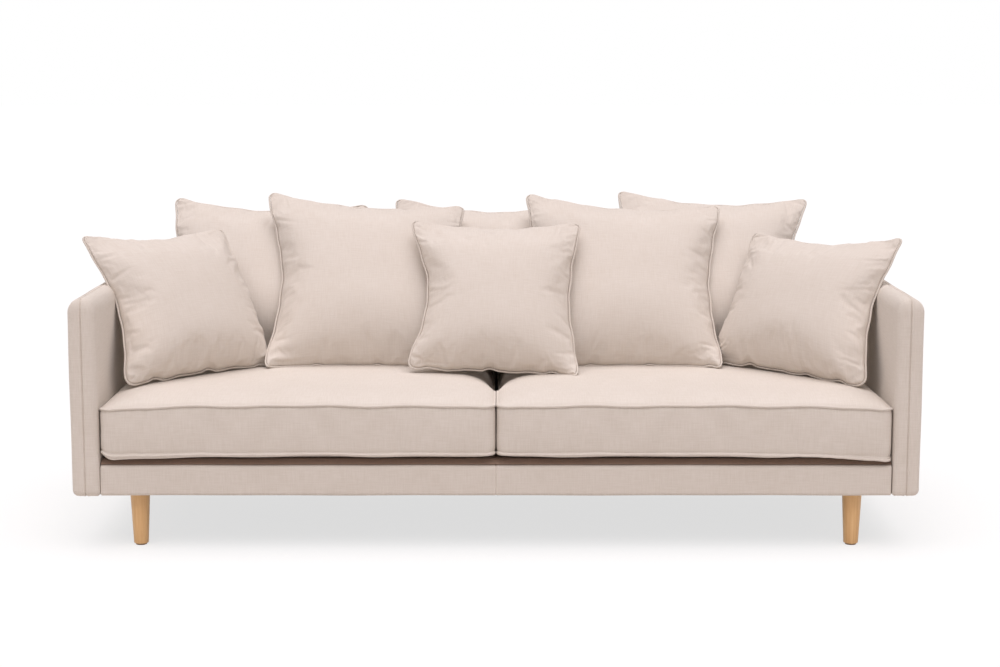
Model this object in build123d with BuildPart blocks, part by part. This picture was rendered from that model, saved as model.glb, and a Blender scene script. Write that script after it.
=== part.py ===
# Two-cushion sofa with slab arms, a low back, eight loose cushions and four turned wooden legs.
# Millimetres. +X is to the right in the front view, +Y to the rear, +Z up from the floor.
# The origin is on the floor, under the middle of the sofa.

import os
from math import cos, radians, sin, tan

from build123d import *

os.makedirs("parts", exist_ok=True)

# Overall sizes
overall_width = 2300
overall_depth = 940
arm_height = 690
leg_height = 148
arm_thickness = 75
back_thickness = 100

# Fabric covers, padding and the clearances between assemblies
cover_thickness = 2
sewing_gap = 0.4
assembly_gap = 0.5
arm_padding = 18
arm_top_radius = 32
arm_bottom_radius = 18
arm_end_radius = 14
back_front_padding = 46
back_rear_padding = 10
back_edge_padding = 18
back_top_radius = 36
back_bottom_radius = 14

# Timber base
rail_thickness = 32
rail_height = 76
rail_setback = 10
rail_front_padding = 8
rail_top_padding = 6
rail_cover_lap = 14
rail_cover_radius = 12
rail_cover_foot_radius = 6
stretcher_width = 40
stretcher_height = 50

# Timber back frame and its straps
back_rail_height = 60
back_post_width = 45
strap_width = 50
strap_thickness = 2.2
strap_lap = 24
strap_spacing = 300
strap_start = 225
straps_per_side = 3

# Zigzag seat springs and their clips
springs_per_seat = 4
spring_bars = 20
spring_bar_length = 44
wire_diameter = 3.6
wire_height = 4.5
clip_width = 16
clip_length = 14
clip_height = 8.5
clip_clearance = 0.15
clip_edge_gap = 1

# Deck under the seat cushions and the cloth under the base
deck_gap = 0.2
deck_felt_thickness = 10
deck_cloth_thickness = 2
dust_cover_thickness = 1.2

# Legs and their fittings
leg_top_diameter = 54
leg_foot_diameter = 40
leg_foot_radius = 2.5
leg_side_inset = 97
leg_rail_inset = 22
block_size = 90
block_height = 45
plate_width = 56
plate_thickness = 2.5
boss_diameter = 14
boss_height = 16
leg_bolt_diameter = 8
leg_bolt_in_leg = 34
leg_bolt_in_block = 26
glide_diameter = 30
glide_thickness = 4
glide_pin_diameter = 3
glide_pin_length = 12

# Bolts that hold the arms and the back to the base
frame_bolt_diameter = 8
bolt_head_width = 15
bolt_head_height = 5
washer_diameter = 20
washer_thickness = 2
nut_diameter = 14
nut_length = 18
nut_clearance = 0.1
bolt_tip = 2
bolt_clearance = 0.2
sleeve_clearance = 2
arm_bolt_inset = 180
back_bolt_spacing = 520
back_bolts = 4

# Seat cushions
seat_side_gap = 3
seat_middle_gap = 4
seat_setback = 4
seat_rear_gap = 18
seat_rest_gap = 0.4
seat_foot_height = 18
seat_foot_inset = 16
seat_band_height = 126
seat_crown_height = 36
seat_crown_inset = 120
seat_corner_radius = 22

# Zips on the rear of the seat cushions
zip_length = 900
zip_width = 30
zip_thickness = 1.6
zip_slider_length = 14
zip_slider_height = 12
zip_slider_depth = 5
zip_pull_width = 6
zip_pull_length = 26
zip_pull_thickness = 2
zip_gap = 0.3

# Loose cushions: corner to corner width, thickness, lean from upright
large_cushion = 574
small_cushion = 476
rear_thickness = 100
front_thickness = 110
small_thickness = 96
seam_allowance = 6
row_lean = 35
small_centre_lean = 31
small_side_lean = 26
small_side_turn = 44
cushion_rest_gap = 0.3
layer_gap = 1.5
back_touch_gap = 1
rear_row_x = 690
rear_centre_x = -20
small_side_inset = 244
small_corner_gap = 10
side_neighbour_gap = 6

# A half of a loose cushion, from seam to crown: rise, reach and draw-in of the sides,
# as shares of the half thickness, the half width and the half width
cushion_profile = [
    (0.00, 1.000, 0.095),
    (0.36, 0.915, 0.075),
    (0.68, 0.790, 0.030),
    (0.90, 0.600, -0.040),
    (1.00, 0.340, -0.060),
]

# The crown of a seat cushion, from seam to top: shares of the crown height and inset
crown_profile = [(0.00, 0.00), (0.45, 0.12), (0.80, 0.45), (1.00, 1.00)]

# Places worked out from the sizes
front_y = -overall_depth / 2
rear_y = overall_depth / 2
arm_inner_x = overall_width / 2 - arm_thickness
arm_middle_x = overall_width / 2 - arm_thickness / 2
body_height = arm_height - leg_height
body_middle_z = (arm_height + leg_height) / 2
back_front_y = rear_y - back_thickness
back_half_length = arm_inner_x - assembly_gap
arm_skin = cover_thickness + arm_padding

base_z = leg_height + plate_thickness
base_half_width = arm_inner_x - assembly_gap
rail_top_z = base_z + rail_height
rail_face_y = front_y + rail_setback
front_rail_y = rail_face_y + cover_thickness + rail_front_padding
front_rail_rear_y = front_rail_y + rail_thickness
rail_cover_end_y = front_rail_y + rail_cover_lap
rail_cover_top_z = rail_top_z + rail_top_padding + cover_thickness
rear_rail_rear_y = back_front_y - assembly_gap
rear_rail_y = rear_rail_rear_y - rail_thickness
bay_depth = rear_rail_y - front_rail_rear_y
bay_middle_y = (rear_rail_y + front_rail_rear_y) / 2

wire_radius = wire_diameter / 2
wire_z = rail_top_z + wire_height
front_clip_y = front_rail_rear_y - clip_length / 2 - clip_edge_gap
rear_clip_y = rear_rail_y + clip_length / 2 + clip_edge_gap
spring_pitch = (rear_clip_y - front_clip_y) / (spring_bars - 1)
spring_spacing = base_half_width / springs_per_seat

deck_front_y = rail_cover_end_y + assembly_gap
deck_depth = rear_rail_rear_y - deck_front_y
deck_middle_y = (rear_rail_rear_y + deck_front_y) / 2
felt_z = rail_top_z + clip_height + deck_gap
cloth_z = felt_z + deck_felt_thickness
seat_z = cloth_z + deck_cloth_thickness + seat_rest_gap

leg_x = arm_inner_x - leg_side_inset
front_leg_y = front_rail_rear_y + leg_rail_inset
rear_leg_y = rear_rail_y - leg_rail_inset
front_block_y = front_rail_rear_y + block_size / 2
rear_block_y = rear_rail_y - block_size / 2
leg_places = [(-leg_x, front_leg_y), (leg_x, front_leg_y), (-leg_x, rear_leg_y), (leg_x, rear_leg_y)]
block_places = [(-leg_x, front_block_y), (leg_x, front_block_y)]
block_places += [(-leg_x, rear_block_y), (leg_x, rear_block_y)]

seat_width = arm_inner_x - seat_side_gap - seat_middle_gap / 2
seat_middle_x = (seat_middle_gap / 2 + arm_inner_x - seat_side_gap) / 2
seat_front_y = front_y + seat_setback
seat_rear_y = back_front_y - seat_rear_gap
seat_depth = seat_rear_y - seat_front_y
seat_middle_y = (seat_rear_y + seat_front_y) / 2
seat_seam_z = seat_z + seat_foot_height + seat_band_height
seat_top_z = seat_seam_z + seat_crown_height
zip_z = seat_z + seat_foot_height + seat_band_height / 2

upright = (Align.CENTER, Align.CENTER, Align.MIN)
along_depth = (Align.CENTER, Align.MIN, Align.MIN)


def save(piece, name):
    piece.part.label = name
    export_step(piece.part, f"parts/{name}.step")


# Bolt seats: the plane of each washer, and how far the held timber lies from it

bolt_z = base_z + rail_height / 2
arm_bolt_reach = rail_thickness + assembly_gap + arm_skin
back_bolt_reach = rail_thickness + assembly_gap + cover_thickness + back_front_padding + strap_thickness
arm_bolt_ys = [front_rail_rear_y + arm_bolt_inset, rear_rail_y - arm_bolt_inset]
back_bolt_xs = [(i - (back_bolts - 1) / 2) * back_bolt_spacing for i in range(back_bolts)]


def arm_seats(side):
    seat_x = side * (base_half_width - rail_thickness)
    return [Plane(origin=(seat_x, y, bolt_z), x_dir=(0, 1, 0), z_dir=(side, 0, 0)) for y in arm_bolt_ys]


back_seats = [Plane(origin=(x, rear_rail_y, bolt_z), x_dir=(1, 0, 0), z_dir=(0, 1, 0)) for x in back_bolt_xs]
bolt_seats = [(seat, arm_bolt_reach) for seat in arm_seats(-1) + arm_seats(1)]
bolt_seats += [(seat, back_bolt_reach) for seat in back_seats]

bolt_hole = frame_bolt_diameter / 2 + bolt_clearance
sleeve_hole = frame_bolt_diameter / 2 + sleeve_clearance
nut_hole = nut_diameter / 2 + bolt_clearance


# Timber base: two long rails, two side rails, a stretcher and four leg blocks

with BuildPart() as front_rail:
    with Locations((0, front_rail_y, base_z)):
        Box(2 * base_half_width, rail_thickness, rail_height, align=along_depth)
save(front_rail, "front_rail")

with BuildPart() as rear_rail:
    with Locations((0, rear_rail_y, base_z)):
        Box(2 * base_half_width, rail_thickness, rail_height, align=along_depth)
    with Locations(*back_seats):
        Cylinder(bolt_hole, rail_thickness, align=upright, mode=Mode.SUBTRACT)
save(rear_rail, "rear_rail")

for side, side_name in ((-1, "left"), (1, "right")):
    with BuildPart() as side_rail:
        with Locations((side * (base_half_width - rail_thickness / 2), bay_middle_y, base_z)):
            Box(rail_thickness, bay_depth, rail_height, align=upright)
        with Locations(*arm_seats(side)):
            Cylinder(bolt_hole, rail_thickness, align=upright, mode=Mode.SUBTRACT)
    save(side_rail, f"{side_name}_side_rail")

with BuildPart() as stretcher:
    with Locations((0, bay_middle_y, base_z)):
        Box(stretcher_width, bay_depth, stretcher_height, align=upright)
save(stretcher, "centre_stretcher")

with BuildPart() as leg_blocks:
    with Locations(*[(x, y, base_z) for x, y in block_places]):
        Box(block_size, block_size, block_height, align=upright)
    with Locations(*[(x, y, base_z) for x, y in leg_places]):
        Cylinder(boss_diameter / 2 + bolt_clearance, boss_height, align=upright, mode=Mode.SUBTRACT)
        Cylinder(leg_bolt_diameter / 2 + bolt_clearance, block_height, align=upright, mode=Mode.SUBTRACT)
save(leg_blocks, "leg_blocks")


# Zigzag springs from the front rail to the rear rail, each held by a clip at both ends

with BuildPart() as spring_form:
    with BuildLine() as zigzag:
        for bar in range(spring_bars):
            bar_y = front_clip_y + bar * spring_pitch
            start_x = -spring_bar_length / 2 if bar % 2 == 0 else spring_bar_length / 2
            Line((start_x, bar_y, wire_z), (-start_x, bar_y, wire_z))
            if bar < spring_bars - 1:
                turn_x = -start_x * (1 + spring_pitch / spring_bar_length)
                turn_y = bar_y + spring_pitch / 2
                ThreePointArc(
                    (-start_x, bar_y, wire_z),
                    (turn_x, turn_y, wire_z),
                    (-start_x, bar_y + spring_pitch, wire_z),
                )
    wire_start = Plane(
        origin=(-spring_bar_length / 2, front_clip_y, wire_z), x_dir=(0, 1, 0), z_dir=(1, 0, 0)
    )
    with BuildSketch(wire_start):
        Circle(wire_radius)
    sweep()

spring_xs = [side * (i + 0.5) * spring_spacing for side in (-1, 1) for i in range(springs_per_seat)]

with BuildPart() as seat_springs:
    with Locations(*[(x, 0, 0) for x in spring_xs]):
        add(spring_form.part)
save(seat_springs, "seat_springs")

clip_places = [(x, y) for x in spring_xs for y in (front_clip_y, rear_clip_y)]

with BuildPart() as spring_clips:
    with Locations(*[(x, y, rail_top_z) for x, y in clip_places]):
        Box(clip_width, clip_length, clip_height, align=upright)
    with Locations(*[Location((x, y, wire_z), (0, 90, 0)) for x, y in clip_places]):
        Cylinder(wire_radius + clip_clearance, clip_width, mode=Mode.SUBTRACT)
save(spring_clips, "spring_clips")


# Deck of felt and cloth on the springs, and the dust cover under the base

with BuildPart() as deck_felt:
    with Locations((0, deck_middle_y, felt_z)):
        Box(2 * base_half_width, deck_depth, deck_felt_thickness, align=upright)
save(deck_felt, "deck_felt")

with BuildPart() as deck_cloth:
    with Locations((0, deck_middle_y, cloth_z)):
        Box(2 * base_half_width, deck_depth, deck_cloth_thickness, align=upright)
save(deck_cloth, "deck_cloth")

plate_hole = plate_width + 2 * assembly_gap

with BuildPart() as dust_cover:
    with Locations((0, deck_middle_y, base_z - dust_cover_thickness)):
        Box(2 * base_half_width, deck_depth, dust_cover_thickness, align=upright)
    with Locations(*[(x, y, base_z - dust_cover_thickness) for x, y in leg_places]):
        Box(plate_hole, plate_hole, dust_cover_thickness, align=upright, mode=Mode.SUBTRACT)
save(dust_cover, "dust_cover")


# Front rail upholstery: a padded wrap over the front and the top edge of the rail


def rail_wrap(inset, end_y):
    """Rounded bar around the front rail, drawn in by inset and open towards end_y."""
    with BuildPart() as wrap:
        with BuildSketch(Plane.YZ.offset(-base_half_width)) as section:
            with Locations((rail_face_y + inset, base_z - cover_thickness + inset)):
                Rectangle(
                    end_y - rail_face_y - inset,
                    rail_cover_top_z - base_z + cover_thickness - 2 * inset,
                    align=(Align.MIN, Align.MIN),
                )
            foot_corner, top_corner = section.vertices().group_by(Axis.X)[0].sort_by(Axis.Y)
            fillet(top_corner, radius=rail_cover_radius - inset)
            fillet(foot_corner, radius=rail_cover_foot_radius - inset)
        extrude(amount=2 * base_half_width)
    return wrap.part


with BuildPart() as front_rail_cover:
    add(rail_wrap(0, rail_cover_end_y))
    add(rail_wrap(cover_thickness, rail_cover_end_y + rail_cover_lap), mode=Mode.SUBTRACT)
save(front_rail_cover, "front_rail_cover")

with BuildPart() as front_rail_padding:
    add(rail_wrap(cover_thickness + sewing_gap, rail_cover_end_y))
    with Locations((0, front_rail_y, base_z)):
        Box(2 * base_half_width, rail_thickness, rail_height, align=along_depth, mode=Mode.SUBTRACT)
save(front_rail_padding, "front_rail_padding")


# Arms: a timber panel in padding, in a sewn cover


def arm_form(side, inset):
    """Upright slab of one arm with soft edges, drawn in by inset on every face."""
    with BuildPart() as form:
        with Locations((side * arm_middle_x, 0, body_middle_z)):
            Box(arm_thickness - 2 * inset, overall_depth - 2 * inset, body_height - 2 * inset)
        fillet(form.edges().filter_by(Axis.Y).group_by(Axis.Z)[-1], radius=arm_top_radius - inset)
        fillet(form.edges().filter_by(Axis.Y).group_by(Axis.Z)[0], radius=arm_bottom_radius - inset)
        fillet(form.faces().filter_by(Axis.Y).edges(), radius=arm_end_radius - inset)
    return form.part


panel_size = (arm_thickness - 2 * arm_skin, overall_depth - 2 * arm_skin, body_height - 2 * arm_skin)

for side, side_name in ((-1, "left"), (1, "right")):
    held_seats = [seat.offset(arm_bolt_reach) for seat in arm_seats(side)]

    with BuildPart() as arm_frame:
        with Locations((side * arm_middle_x, 0, body_middle_z)):
            Box(*panel_size)
        with Locations(*held_seats):
            Cylinder(nut_hole, nut_length, align=upright, mode=Mode.SUBTRACT)
            Cylinder(bolt_hole, nut_length + 2 * bolt_tip, align=upright, mode=Mode.SUBTRACT)
    save(arm_frame, f"{side_name}_arm_frame")

    with BuildPart() as padding:
        add(arm_form(side, cover_thickness + sewing_gap))
        with Locations((side * arm_middle_x, 0, body_middle_z)):
            Box(*panel_size, mode=Mode.SUBTRACT)
        with Locations(*arm_seats(side)):
            Cylinder(sleeve_hole, arm_bolt_reach, align=upright, mode=Mode.SUBTRACT)
    save(padding, f"{side_name}_arm_padding")

    with BuildPart() as arm_cover:
        add(arm_form(side, 0))
        add(arm_form(side, cover_thickness), mode=Mode.SUBTRACT)
        with Locations(*arm_seats(side)):
            Cylinder(sleeve_hole, arm_bolt_reach, align=upright, mode=Mode.SUBTRACT)
    save(arm_cover, f"{side_name}_arm_cover")


# Back: two rails, three posts and upright straps in padding, in a sewn cover

frame_front_y = back_front_y + cover_thickness + back_front_padding + strap_thickness
frame_rear_y = rear_y - cover_thickness - back_rear_padding
frame_depth = frame_rear_y - frame_front_y
frame_bottom_z = leg_height + cover_thickness + back_edge_padding
frame_top_z = arm_height - cover_thickness - back_edge_padding
frame_half_length = back_half_length - cover_thickness - back_edge_padding
post_z = frame_bottom_z + back_rail_height
post_height = frame_top_z - frame_bottom_z - 2 * back_rail_height
held_back_seats = [seat.offset(back_bolt_reach) for seat in back_seats]


def back_form(inset):
    """Long slab of the back with soft edges, drawn in by inset on every face."""
    with BuildPart() as form:
        with Locations((0, rear_y - back_thickness / 2, body_middle_z)):
            Box(2 * (back_half_length - inset), back_thickness - 2 * inset, body_height - 2 * inset)
        fillet(form.edges().filter_by(Axis.X).group_by(Axis.Z)[-1], radius=back_top_radius - inset)
        fillet(form.edges().filter_by(Axis.X).group_by(Axis.Z)[0], radius=back_bottom_radius - inset)
    return form.part


with BuildPart() as back_bottom_rail:
    with Locations((0, frame_front_y, frame_bottom_z)):
        Box(2 * frame_half_length, frame_depth, back_rail_height, align=along_depth)
    with Locations(*held_back_seats):
        Cylinder(nut_hole, nut_length, align=upright, mode=Mode.SUBTRACT)
        Cylinder(bolt_hole, nut_length + 2 * bolt_tip, align=upright, mode=Mode.SUBTRACT)
save(back_bottom_rail, "back_bottom_rail")

with BuildPart() as back_top_rail:
    with Locations((0, frame_front_y, frame_top_z - back_rail_height)):
        Box(2 * frame_half_length, frame_depth, back_rail_height, align=along_depth)
save(back_top_rail, "back_top_rail")

post_spread = frame_half_length - back_post_width / 2

with BuildPart() as back_posts:
    with Locations(*[(i * post_spread, frame_front_y, post_z) for i in (-1, 0, 1)]):
        Box(back_post_width, frame_depth, post_height, align=along_depth)
save(back_posts, "back_posts")

strap_xs = [side * (strap_start + i * strap_spacing) for side in (-1, 1) for i in range(straps_per_side)]
strap_length = post_height + 2 * strap_lap

with BuildPart() as back_straps:
    with Locations(*[(x, frame_front_y - strap_thickness, post_z - strap_lap) for x in strap_xs]):
        Box(strap_width, strap_thickness, strap_length, align=along_depth)
save(back_straps, "back_straps")

with BuildPart() as back_padding:
    add(back_form(cover_thickness + sewing_gap))
    with Locations((0, frame_front_y - strap_thickness, frame_bottom_z)):
        Box(
            2 * frame_half_length,
            frame_depth + strap_thickness,
            frame_top_z - frame_bottom_z,
            align=along_depth,
            mode=Mode.SUBTRACT,
        )
    with Locations(*back_seats):
        Cylinder(sleeve_hole, back_bolt_reach, align=upright, mode=Mode.SUBTRACT)
save(back_padding, "back_padding")

with BuildPart() as back_cover:
    add(back_form(0))
    add(back_form(cover_thickness), mode=Mode.SUBTRACT)
    with Locations(*back_seats):
        Cylinder(sleeve_hole, back_bolt_reach, align=upright, mode=Mode.SUBTRACT)
save(back_cover, "back_cover")


# Bolts, washers and nuts that hold the arms and the back to the base

with BuildPart() as frame_bolts:
    for seat, reach in bolt_seats:
        head = seat.offset(-washer_thickness)
        with BuildSketch(head):
            Circle(frame_bolt_diameter / 2)
        extrude(amount=washer_thickness + reach + nut_length + bolt_tip)
        with BuildSketch(head):
            RegularPolygon(bolt_head_width / 2, 6)
        extrude(amount=-bolt_head_height)
save(frame_bolts, "frame_bolts")

with BuildPart() as frame_washers:
    with Locations(*[seat for seat, reach in bolt_seats]):
        Cylinder(washer_diameter / 2, washer_thickness, align=(Align.CENTER, Align.CENTER, Align.MAX))
        Cylinder(bolt_hole, 3 * washer_thickness, mode=Mode.SUBTRACT)
save(frame_washers, "frame_washers")

with BuildPart() as frame_nuts:
    with Locations(*[seat.offset(reach) for seat, reach in bolt_seats]):
        Cylinder(nut_diameter / 2, nut_length, align=upright)
        Cylinder(frame_bolt_diameter / 2 + nut_clearance, nut_length, align=upright, mode=Mode.SUBTRACT)
save(frame_nuts, "frame_nuts")


# Turned legs, screwed into plates under the leg blocks, on glides

leg_names = ["front_left", "front_right", "rear_left", "rear_right"]
leg_length = leg_height - glide_thickness
pin_hole = glide_pin_diameter / 2 + bolt_clearance / 2

for (x, y), leg_name in zip(leg_places, leg_names):
    with BuildPart() as leg:
        with Locations((x, y, glide_thickness)):
            Cone(leg_foot_diameter / 2, leg_top_diameter / 2, leg_length, align=upright)
        fillet(leg.edges().filter_by(GeomType.CIRCLE).group_by(Axis.Z)[0], radius=leg_foot_radius)
        with Locations((x, y, glide_thickness)):
            Cylinder(pin_hole, glide_pin_length, align=upright, mode=Mode.SUBTRACT)
        with Locations((x, y, leg_height - leg_bolt_in_leg)):
            Cylinder(
                leg_bolt_diameter / 2 + bolt_clearance / 2, leg_bolt_in_leg, align=upright, mode=Mode.SUBTRACT
            )
    save(leg, f"{leg_name}_leg")

with BuildPart() as leg_bolts:
    with Locations(*[(x, y, leg_height - leg_bolt_in_leg) for x, y in leg_places]):
        Cylinder(leg_bolt_diameter / 2, leg_bolt_in_leg + leg_bolt_in_block, align=upright)
save(leg_bolts, "leg_bolts")

with BuildPart() as leg_plates:
    with Locations(*[(x, y, leg_height) for x, y in leg_places]):
        Box(plate_width, plate_width, plate_thickness, align=upright)
        Cylinder(boss_diameter / 2, plate_thickness + boss_height, align=upright)
    with Locations(*[(x, y, leg_height) for x, y in leg_places]):
        Cylinder(
            leg_bolt_diameter / 2 + bolt_clearance / 2,
            plate_thickness + boss_height,
            align=upright,
            mode=Mode.SUBTRACT,
        )
save(leg_plates, "leg_plates")

with BuildPart() as leg_glides:
    with Locations(*[(x, y, 0) for x, y in leg_places]):
        Cylinder(glide_diameter / 2, glide_thickness, align=upright)
        Cylinder(glide_pin_diameter / 2, glide_thickness + glide_pin_length, align=upright)
save(leg_glides, "leg_glides")


# Seat cushions: a crowned foam core in a boxed cover, with a zip across the rear


def seat_form(side, inset):
    """Boxed cushion with a drawn-in foot, an upright band and a crowned top, drawn in by inset."""
    middle = Plane(origin=(side * seat_middle_x, seat_middle_y, seat_z))
    width = seat_width - 2 * inset
    depth = seat_depth - 2 * inset
    foot_z = seat_foot_height
    seam_z = seat_foot_height + seat_band_height
    with BuildPart() as form:
        with BuildSketch(middle.offset(inset)):
            RectangleRounded(width - 2 * seat_foot_inset, depth - 2 * seat_foot_inset, seat_corner_radius)
        with BuildSketch(middle.offset(foot_z)):
            RectangleRounded(width, depth, seat_corner_radius)
        loft()
        with BuildSketch(middle.offset(foot_z)):
            RectangleRounded(width, depth, seat_corner_radius)
        extrude(amount=seat_band_height)
        for rise, draw in crown_profile:
            with BuildSketch(middle.offset(seam_z + rise * (seat_crown_height - inset))):
                RectangleRounded(
                    width - 2 * draw * seat_crown_inset,
                    depth - 2 * draw * seat_crown_inset,
                    seat_corner_radius + draw * seat_crown_inset / 2,
                )
        loft()
    return form.part


for side, side_name in ((-1, "left"), (1, "right")):
    with BuildPart() as seat_cover:
        add(seat_form(side, 0))
        add(seat_form(side, cover_thickness), mode=Mode.SUBTRACT)
    save(seat_cover, f"{side_name}_seat_cover")

    with BuildPart() as seat_core:
        add(seat_form(side, cover_thickness + sewing_gap))
    save(seat_core, f"{side_name}_seat_core")

    with BuildPart() as seat_zip:
        with Locations((side * seat_middle_x, seat_rear_y, zip_z - zip_width / 2)):
            Box(zip_length, zip_thickness, zip_width, align=along_depth)
    save(seat_zip, f"{side_name}_seat_zip")

    slider_x = side * seat_middle_x - zip_length / 2 + zip_slider_length / 2
    slider_y = seat_rear_y + zip_thickness + zip_gap
    with BuildPart() as zip_slider:
        with Locations((slider_x, slider_y, zip_z - zip_slider_height / 2)):
            Box(zip_slider_length, zip_slider_depth, zip_slider_height, align=along_depth)
        with Locations((slider_x, slider_y, zip_z)):
            Box(
                zip_pull_width,
                zip_pull_thickness,
                zip_pull_length,
                align=(Align.CENTER, Align.MIN, Align.MAX),
            )
    save(zip_slider, f"{side_name}_zip_slider")


# Loose cushions: knife-edge covers with soft fills, leaning in three layers


def cushion_plane(x, y, width, lean, turn):
    """Seam plane of a cushion whose lower edge is centred on (x, y) on top of the seat."""
    side_dir = Vector(cos(radians(turn)), sin(radians(turn)), 0)
    rear_dir = Vector(-sin(radians(turn)), cos(radians(turn)), 0)
    rise_dir = rear_dir * sin(radians(lean)) + Vector(0, 0, cos(radians(lean)))
    foot = Vector(x, y, seat_top_z + cushion_rest_gap)
    return Plane(origin=foot + rise_dir * (width / 2), x_dir=side_dir, z_dir=side_dir.cross(rise_dir))


def cushion_form(plane, reach, half_thickness):
    """Two lofted halves that meet on the seam plane, with drawn-in sides and a crown."""
    with BuildPart() as form:
        for face in (1, -1):
            for rise, share, draw in cushion_profile:
                corner = share * reach
                middle = corner - draw * reach
                with BuildSketch(plane.offset(face * rise * half_thickness)):
                    with BuildLine():
                        ThreePointArc((corner, corner), (0, middle), (-corner, corner))
                        ThreePointArc((-corner, corner), (-middle, 0), (-corner, -corner))
                        ThreePointArc((-corner, -corner), (0, -middle), (corner, -corner))
                        ThreePointArc((corner, -corner), (middle, 0), (corner, corner))
                    make_face()
            loft()
    return form.part


# The rear row rests on the rounded top edge of the back, and each layer on the one behind it
rest_z = seat_top_z + cushion_rest_gap
back_edge_reach = back_top_radius + rear_thickness / 2 + back_touch_gap
touch_y = back_front_y + back_top_radius - back_edge_reach * cos(radians(row_lean))
touch_z = arm_height - back_top_radius + back_edge_reach * sin(radians(row_lean))
rear_row_y = touch_y - (touch_z - rest_z) * tan(radians(row_lean))

row_step = (rear_thickness + front_thickness) / 2 + layer_gap
front_row_y = rear_row_y - row_step / cos(radians(row_lean))

small_step = (front_thickness + small_thickness) / 2 + 2 * layer_gap
small_swing = small_cushion / 2 * sin(radians(row_lean - small_centre_lean))
small_centre_y = front_row_y - (small_step - small_swing) / cos(radians(row_lean))

small_side_x = arm_inner_x - small_side_inset
rear_row_face_y = rear_row_y - rear_thickness / 2 / cos(radians(row_lean))
small_half_turn = small_cushion / 2 * sin(radians(small_side_turn))
small_side_y = rear_row_face_y - small_corner_gap - small_half_turn
small_half_spread = small_cushion / 2 * cos(radians(small_side_turn))
front_row_x = small_side_x - small_half_spread - side_neighbour_gap - large_cushion / 2

# name, width, thickness, x, y, lean and turn of each loose cushion
loose_cushions = [
    ("rear_left", large_cushion, rear_thickness, -rear_row_x, rear_row_y, row_lean, 0),
    ("rear_centre", large_cushion, rear_thickness, rear_centre_x, rear_row_y, row_lean, 0),
    ("rear_right", large_cushion, rear_thickness, rear_row_x, rear_row_y, row_lean, 0),
    ("front_left", large_cushion, front_thickness, -front_row_x, front_row_y, row_lean, 0),
    ("front_right", large_cushion, front_thickness, front_row_x, front_row_y, row_lean, 0),
    ("small_centre", small_cushion, small_thickness, 0, small_centre_y, small_centre_lean, 0),
    (
        "small_left", small_cushion, small_thickness,
        -small_side_x, small_side_y, small_side_lean, small_side_turn,
    ),
    (
        "small_right", small_cushion, small_thickness,
        small_side_x, small_side_y, small_side_lean, -small_side_turn,
    ),
]

for name, width, thickness, x, y, lean, turn in loose_cushions:
    seam_plane = cushion_plane(x, y, width, lean, turn)
    reach = width / 2
    half = thickness / 2

    with BuildPart() as cushion_cover:
        add(cushion_form(seam_plane, reach, half))
        add(cushion_form(seam_plane, reach - seam_allowance, half - cover_thickness), mode=Mode.SUBTRACT)
    save(cushion_cover, f"{name}_cushion_cover")

    with BuildPart() as cushion_fill:
        fill_reach = reach - seam_allowance - sewing_gap
        add(cushion_form(seam_plane, fill_reach, half - cover_thickness - sewing_gap))
    save(cushion_fill, f"{name}_cushion_fill")
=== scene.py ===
# %% [markdown]
# # A sofa with loose cushions
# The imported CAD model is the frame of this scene: it says where every piece is and which body it moves
# with. Everything soft is made again here as cloth, because a cushion is a sewn bag, with seams, puckers
# and slack that a solid doesn't have. Lengths are in metres, and MM turns millimetres into them.

import bpy
import numpy as np
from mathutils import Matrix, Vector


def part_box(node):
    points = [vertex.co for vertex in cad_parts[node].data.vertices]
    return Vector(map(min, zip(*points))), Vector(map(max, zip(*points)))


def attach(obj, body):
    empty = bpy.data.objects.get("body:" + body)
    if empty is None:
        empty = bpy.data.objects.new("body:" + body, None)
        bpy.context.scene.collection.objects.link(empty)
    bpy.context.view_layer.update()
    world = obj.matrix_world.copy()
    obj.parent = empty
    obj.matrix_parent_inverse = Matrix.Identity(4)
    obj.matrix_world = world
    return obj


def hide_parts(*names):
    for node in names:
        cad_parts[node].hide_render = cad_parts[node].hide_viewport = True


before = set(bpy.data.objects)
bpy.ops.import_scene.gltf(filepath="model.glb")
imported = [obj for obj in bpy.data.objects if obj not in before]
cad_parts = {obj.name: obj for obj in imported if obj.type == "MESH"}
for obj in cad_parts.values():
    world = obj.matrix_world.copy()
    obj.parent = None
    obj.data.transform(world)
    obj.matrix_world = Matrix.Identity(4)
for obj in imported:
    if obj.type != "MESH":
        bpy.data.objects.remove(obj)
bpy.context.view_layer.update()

MM = 0.001

# %% [markdown]
# ## Camera
# A catalogue picture of a sofa is taken from some way off with a long lens, so that the arms stay
# upright. The values were fitted to the arms, the rail, the seat edges and the legs of the photo.

# %% Camera
camera_place = (0.0109, -5.667, 1.355)
camera_tilt = 8.3
camera_data = bpy.data.cameras.new("camera")
camera_data.sensor_width = 36
camera_data.lens = 70.6
camera = bpy.data.objects.new("camera", camera_data)
camera.location = camera_place
camera.rotation_euler = (np.radians(90 - camera_tilt), 0, 0)
bpy.context.scene.collection.objects.link(camera)
bpy.context.scene.camera = camera
bpy.context.scene.view_settings.view_transform = "Standard"
print("camera", camera_data.lens, "mm lens at", camera_place)

# %% [markdown]
# ## Colours and nodes
# Colours are written as they look on a screen, and the renderer counts in light, so one function turns a
# colour code into linear light. One more adds a shader node and joins it up.


# %% Colour and node helpers
def linear(code):
    """Linear RGBA of an sRGB colour code: a straight line near black, and a power of 2.4 above it."""
    value = np.array([int(code[at:at + 2], 16) for at in (1, 3, 5)]) / 255
    dark = value / 12.92
    light = ((value + 0.055) / 1.055) ** 2.4
    return (*np.where(value <= 0.04045, dark, light), 1.0)


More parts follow.
